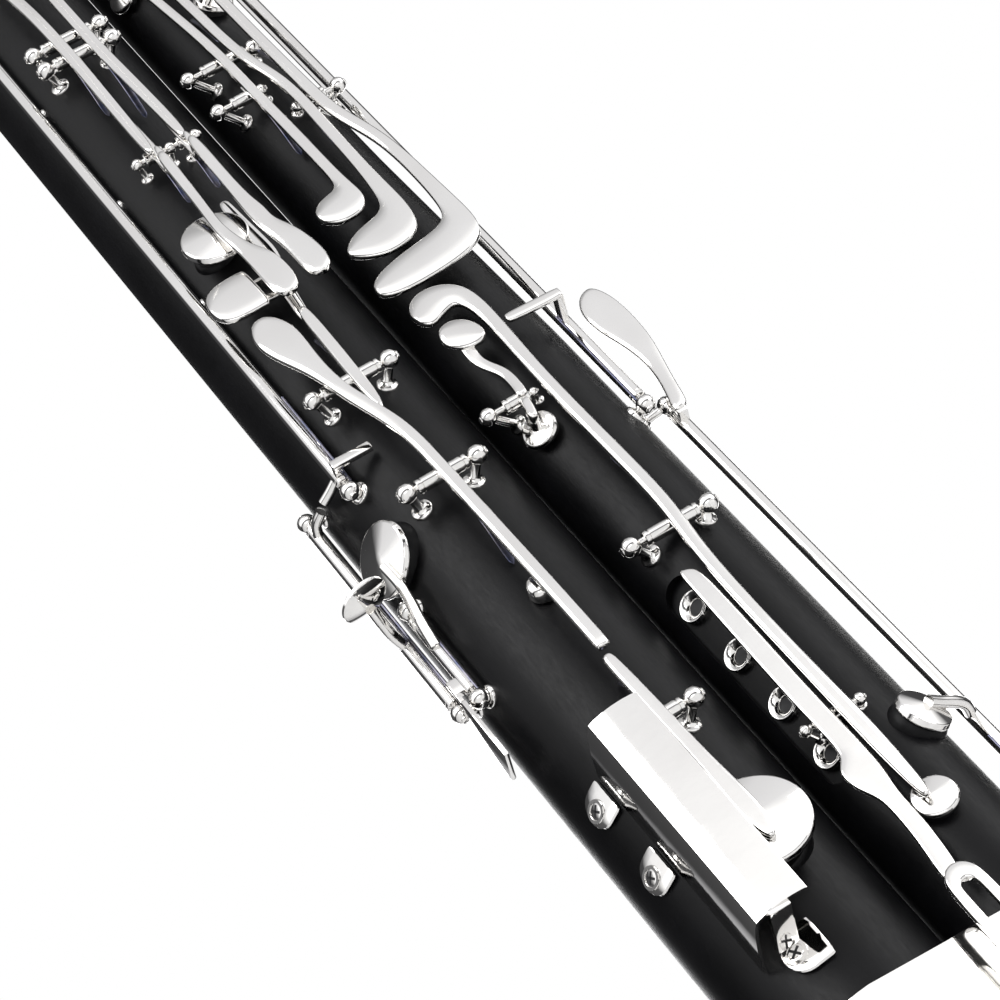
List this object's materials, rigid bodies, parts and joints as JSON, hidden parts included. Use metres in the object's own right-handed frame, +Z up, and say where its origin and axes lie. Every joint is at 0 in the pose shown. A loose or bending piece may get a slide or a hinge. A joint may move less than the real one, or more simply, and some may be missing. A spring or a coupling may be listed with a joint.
{
  "type": "bassoon",
  "caption": "Tall folded-bore double-reed woodwind in black resin with plated keys, rods, pads and ball posts, a curved mouth tube and a bell.",
  "frame": {"origin": "centre of the boot's flat base, midway between its two bores' outer limits and on their common plane", "axes": "+Z up the instrument to the bell, -Y out of the thumb side, +Y out of the finger side, +X towards the wing joint"},
  "size_m": [0.1049, 0.2615, 1.34],
  "materials": {
    "body_resin": "satin black resin",
    "bell_ring_resin": "polished black resin",
    "key_plate": "polished nickel plate",
    "bands": "polished nickel plate",
    "bocal_plate": "polished plate",
    "cork": "waxed cork"
  },
  "bodies": {
    "instrument": {"bell": "body_resin", "bell_key_pivot": "key_plate", "bell_ring": "bell_ring_resin", "bell_socket_band": "bands", "bocal": "bocal_plate", "bocal_cork": "cork", "boot_body": "body_resin", "boot_bottom_cap": "bands", "boot_top_band": "bands", "c_sharp_rod_pivot": "key_plate", "c_sharp_touch_pivot": "key_plate", "e_flat_pivot": "key_plate", "high_a_pivot": "key_plate", "high_c_pivot": "key_plate", "high_d_pivot": "key_plate", "joint_lock": "key_plate", "little_finger_pivot": "key_plate", "long_joint": "body_resin", "long_tenon_lapping": "cork", "low_b_flat_lever_pivot": "key_plate", "low_b_lever_pivot": "key_plate", "low_c_pivot": "key_plate", "low_d_pad_pivot": "key_plate", "low_d_pivot": "key_plate", "low_touch_pivot": "key_plate", "pad_guard": "key_plate", "pancake_pivot": "key_plate", "strap_ring": "key_plate", "thumb_b_flat_pivot": "key_plate", "trill_pivot": "key_plate", "u_bow": "key_plate", "whisper_link_pivot": "key_plate", "whisper_rod_pivot": "key_plate", "whisper_touch_pivot": "key_plate", "wing_c_sharp_pivot": "key_plate", "wing_joint": "body_resin", "wing_tenon_lapping": "cork"},
    "low_b_touch": {"low_b_touch": "key_plate"},
    "low_b_lever": {"low_b_lever": "key_plate"},
    "low_b_flat_touch": {"low_b_flat_touch": "key_plate"},
    "low_b_flat_lever": {"low_b_flat_lever": "key_plate"},
    "bell_key": {"bell_key": "key_plate"},
    "low_c_key": {"low_c_key": "key_plate"},
    "low_d_lever": {"low_d_lever": "key_plate"},
    "low_d_pad_key": {"low_d_pad_key": "key_plate"},
    "e_flat_key": {"e_flat_key": "key_plate"},
    "c_sharp_touch": {"c_sharp_touch": "key_plate"},
    "c_sharp_rod": {"c_sharp_rod": "key_plate"},
    "high_d_key": {"high_d_key": "key_plate"},
    "high_c_key": {"high_c_key": "key_plate"},
    "high_a_key": {"high_a_key": "key_plate"},
    "wing_c_sharp_key": {"wing_c_sharp_key": "key_plate"},
    "whisper_touch": {"whisper_touch": "key_plate"},
    "whisper_rod": {"whisper_rod": "key_plate"},
    "whisper_link": {"whisper_link": "key_plate"},
    "trill_key": {"trill_key": "key_plate"},
    "pancake_key": {"pancake_key": "key_plate"},
    "thumb_b_flat_key": {"thumb_b_flat_key": "key_plate"},
    "f_sharp_key": {"f_sharp_key": "key_plate"},
    "a_flat_key": {"a_flat_key": "key_plate"}
  },
  "joints": [
    {"name": "low_b_touch_hinge", "type": "hinge", "parent": "instrument", "child": "low_b_touch", "pos_m": [-0.02005, -0.0266, 0.7485], "axis": [1, 0, 0], "range_deg": [0, 2.9], "stiffness_Nm_per_rad": 0.05, "springref_deg": -11.46},
    {"name": "low_b_lever_hinge", "type": "hinge", "parent": "instrument", "child": "low_b_lever", "pos_m": [-0.0173, -0.0275, 0.81], "axis": [1, 0, 0], "range_deg": [-0.87, 0]},
    {"name": "low_b_flat_touch_hinge", "type": "hinge", "parent": "instrument", "child": "low_b_flat_touch", "pos_m": [-0.01165, -0.0266, 0.7485], "axis": [1, 0, 0], "range_deg": [0, 2.1], "stiffness_Nm_per_rad": 0.05, "springref_deg": -11.46},
    {"name": "low_b_flat_lever_hinge", "type": "hinge", "parent": "instrument", "child": "low_b_flat_lever", "pos_m": [-0.0173, -0.0275, 0.8016], "axis": [1, 0, 0], "range_deg": [-0.77, 0]},
    {"name": "bell_key_hinge", "type": "hinge", "parent": "instrument", "child": "bell_key", "pos_m": [-0.0185, -0.0284, 1.106], "axis": [1, 0, 0], "range_deg": [0, 1.81]},
    {"name": "low_c_key_hinge", "type": "hinge", "parent": "instrument", "child": "low_c_key", "pos_m": [-0.0201, -0.0275, 0.638], "axis": [1, 0, 0], "range_deg": [-1.8, 0], "stiffness_Nm_per_rad": 0.05, "springref_deg": 11.46},
    {"name": "low_d_lever_hinge", "type": "hinge", "parent": "instrument", "child": "low_d_lever", "pos_m": [-0.0185, -0.0275, 0.5962], "axis": [1, 0, 0], "range_deg": [-1.35, 0], "stiffness_Nm_per_rad": 0.05, "springref_deg": 11.46},
    {"name": "low_d_pad_key_hinge", "type": "hinge", "parent": "instrument", "child": "low_d_pad_key", "pos_m": [-0.0175, -0.0275, 0.5034], "axis": [1, 0, 0], "range_deg": [0, 4.26]},
    {"name": "e_flat_key_hinge", "type": "hinge", "parent": "instrument", "child": "e_flat_key", "pos_m": [-0.0403, -0.01, 0.5644], "axis": [0, 0, 1], "range_deg": [-4, 0], "stiffness_Nm_per_rad": 0.05, "springref_deg": 11.46},
    {"name": "c_sharp_touch_hinge", "type": "hinge", "parent": "instrument", "child": "c_sharp_touch", "pos_m": [-0.0439, -0.003, 0.5904], "axis": [0, 0, 1], "range_deg": [-5.5, 0], "stiffness_Nm_per_rad": 0.05, "springref_deg": 11.46},
    {"name": "c_sharp_rod_hinge", "type": "hinge", "parent": "instrument", "child": "c_sharp_rod", "pos_m": [-0.0349, -0.0183, 0.7496], "axis": [0, 0, 1], "range_deg": [0, 6.06]},
    {"name": "high_d_key_hinge", "type": "hinge", "parent": "instrument", "child": "high_d_key", "pos_m": [0.0112, -0.0184, 0.763], "axis": [1, 0, 0], "range_deg": [0, 2.6], "stiffness_Nm_per_rad": 0.05, "springref_deg": -11.46},
    {"name": "high_c_key_hinge", "type": "hinge", "parent": "instrument", "child": "high_c_key", "pos_m": [0.0142, -0.0184, 0.7812], "axis": [1, 0, 0], "range_deg": [0, 1.8], "stiffness_Nm_per_rad": 0.05, "springref_deg": -11.46},
    {"name": "high_a_key_hinge", "type": "hinge", "parent": "instrument", "child": "high_a_key", "pos_m": [0.02665, -0.0167, 0.752], "axis": [1, 0, 0], "range_deg": [0, 2], "stiffness_Nm_per_rad": 0.05, "springref_deg": -11.46},
    {"name": "wing_c_sharp_key_hinge", "type": "hinge", "parent": "instrument", "child": "wing_c_sharp_key", "pos_m": [0.0166, -0.0185, 0.5565], "axis": [1, 0, 0], "range_deg": [-1.6, 0], "stiffness_Nm_per_rad": 0.05, "springref_deg": 11.46},
    {"name": "whisper_touch_hinge", "type": "hinge", "parent": "instrument", "child": "whisper_touch", "pos_m": [0.0095, -0.0186, 0.614], "axis": [1, 0, 0], "range_deg": [-6, 0], "stiffness_Nm_per_rad": 0.05, "springref_deg": 11.46},
    {"name": "whisper_rod_hinge", "type": "hinge", "parent": "instrument", "child": "whisper_rod", "pos_m": [0.0359, -0.0096, 0.7557], "axis": [0, 0, 1], "range_deg": [0, 6.61]},
    {"name": "whisper_link_hinge", "type": "hinge", "parent": "instrument", "child": "whisper_link", "pos_m": [0.0142, -0.0177, 0.4885], "axis": [1, 0, 0], "range_deg": [-2.81, 0]},
    {"name": "trill_key_hinge", "type": "hinge", "parent": "instrument", "child": "trill_key", "pos_m": [0.0417, -0.004, 0.52175], "axis": [0, 0, 1], "range_deg": [0, 6], "stiffness_Nm_per_rad": 0.05, "springref_deg": -11.46},
    {"name": "pancake_key_hinge", "type": "hinge", "parent": "instrument", "child": "pancake_key", "pos_m": [0.005, -0.0266, 0.372], "axis": [1, 0, 0], "range_deg": [0, 3.5], "stiffness_Nm_per_rad": 0.05, "springref_deg": -11.46},
    {"name": "thumb_b_flat_key_hinge", "type": "hinge", "parent": "instrument", "child": "thumb_b_flat_key", "pos_m": [-0.005, -0.0266, 0.25], "axis": [1, 0, 0], "range_deg": [-5, 0], "stiffness_Nm_per_rad": 0.05, "springref_deg": 11.46},
    {"name": "f_sharp_key_hinge", "type": "hinge", "parent": "instrument", "child": "f_sharp_key", "pos_m": [-0.01095, 0.027, 0.19], "axis": [1, 0, 0], "range_deg": [0, 2.5], "stiffness_Nm_per_rad": 0.05, "springref_deg": -11.46},
    {"name": "a_flat_key_hinge", "type": "hinge", "parent": "instrument", "child": "a_flat_key", "pos_m": [0.0081, 0.027, 0.19], "axis": [1, 0, 0], "range_deg": [0, 3.5], "stiffness_Nm_per_rad": 0.05, "springref_deg": -11.46}
  ],
  "couplings": [
    {"joint": "low_b_lever_hinge", "follows": "low_b_touch_hinge", "ratio": -0.297},
    {"joint": "low_b_flat_lever_hinge", "follows": "low_b_flat_touch_hinge", "ratio": -0.362},
    {"joint": "bell_key_hinge", "follows": "low_b_flat_touch_hinge", "ratio": 0.857},
    {"joint": "low_d_pad_key_hinge", "follows": "low_d_lever_hinge", "ratio": -3.15},
    {"joint": "c_sharp_rod_hinge", "follows": "c_sharp_touch_hinge", "ratio": -1.1},
    {"joint": "whisper_rod_hinge", "follows": "whisper_touch_hinge", "ratio": -1.1},
    {"joint": "whisper_link_hinge", "follows": "pancake_key_hinge", "ratio": -0.8}
  ]
}
